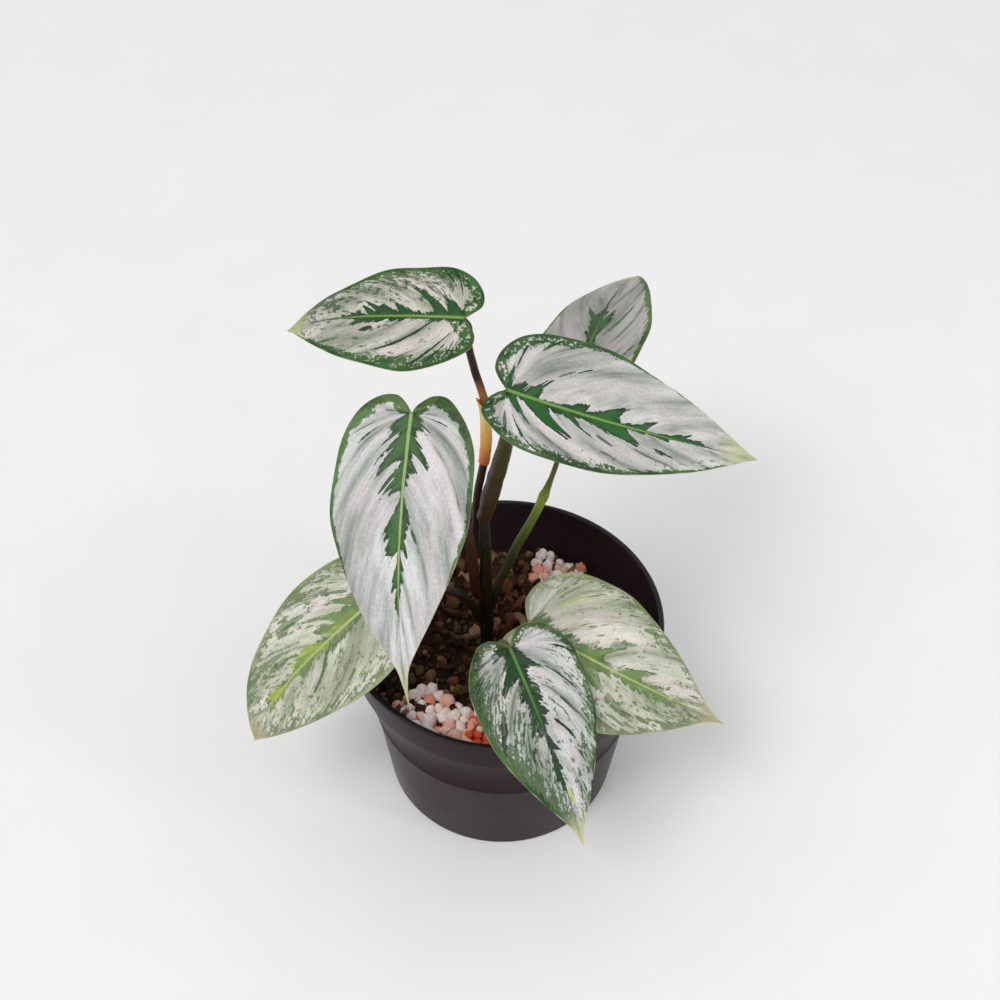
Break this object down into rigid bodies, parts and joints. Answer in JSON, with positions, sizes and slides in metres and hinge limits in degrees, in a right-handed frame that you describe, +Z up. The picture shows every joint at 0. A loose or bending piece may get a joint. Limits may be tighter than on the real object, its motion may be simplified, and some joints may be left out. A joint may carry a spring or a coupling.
{
  "type": "potted philodendron sodiroi",
  "caption": "Young silver-leaved philodendron with heart-shaped leaves on slim stalks, growing from chunky soil in a round black nursery pot.",
  "frame": {"origin": "middle of the pot's flat underside, where its axis meets the surface it stands on", "axes": "+Z up along the pot's axis; +X to the right and -Y towards the viewer in the picture"},
  "size_m": [0.1537, 0.1681, 0.2007],
  "materials": {
    "pot_plastic": "satin",
    "soil": "matte",
    "pumice": "matte",
    "clay": "matte",
    "stem": "satin",
    "stalk": "satin",
    "sheath": "satin",
    "leaf": "satin"
  },
  "bodies": {
    "root": {"pot": "pot_plastic", "soil": "soil", "pumice_front": "pumice", "pumice_back": "pumice", "clay_chips": "clay", "main_stem": "stem", "stalk_right": "stalk", "stalk_upper_left": "stalk", "stalk_back": "stalk", "stalk_front": "stalk", "stalk_lower_left": "stalk", "stalk_lower_right": "stalk", "stalk_front_right": "stalk", "stalk_sheath": "sheath", "leaf_upper_left": "leaf", "leaf_front": "leaf", "leaf_lower_left": "leaf", "leaf_right": "leaf", "leaf_back": "leaf", "leaf_lower_right": "leaf", "leaf_front_right": "leaf"}
  },
  "joints": []
}
